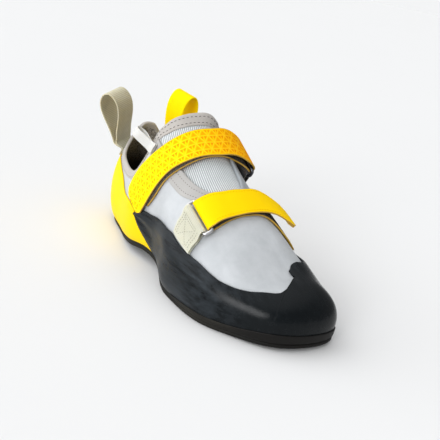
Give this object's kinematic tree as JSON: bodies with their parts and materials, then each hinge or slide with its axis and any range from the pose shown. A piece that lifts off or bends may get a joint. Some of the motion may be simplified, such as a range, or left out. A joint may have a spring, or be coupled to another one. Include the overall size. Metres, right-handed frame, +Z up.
{
  "type": "climbing shoe",
  "caption": "Right-foot climbing shoe with a hollow upper, two fold-back straps on rings, a rubber toe rand, heel rand and pull loops.",
  "frame": {"origin": "middle of the forefoot's flat rest face on the floor", "axes": "+X along the foot towards the toe, +Y towards the inner side of the foot, +Z up from the floor"},
  "size_m": [0.2789, 0.1016, 0.127],
  "materials": {
    "outsole_rubber": "dull",
    "rand_rubber": "soft sheen",
    "heel_rubber": "soft sheen",
    "microfibre": "matt, finely brushed",
    "knit": "matt rib knit",
    "insole_cloth": "matt",
    "strap_print": "matt, printed with small triangles",
    "strap_plain": "matt",
    "webbing": "matt webbing",
    "grey_webbing": "matt webbing",
    "yellow_webbing": "matt webbing",
    "ring_metal": "satin"
  },
  "bodies": {
    "root": {"outsole": "outsole_rubber", "insole": "insole_cloth", "upper": "microfibre", "tongue": "knit", "toe_rand": "rand_rubber", "heel_rand": "heel_rubber", "strap_rear": "strap_print", "strap_front": "strap_plain", "ring_rear": "ring_metal", "ring_front": "ring_metal", "ring_tab_rear": "webbing", "ring_tab_front": "webbing", "heel_loop": "grey_webbing", "inner_loop": "yellow_webbing", "collar_loop": "webbing"}
  },
  "joints": []
}
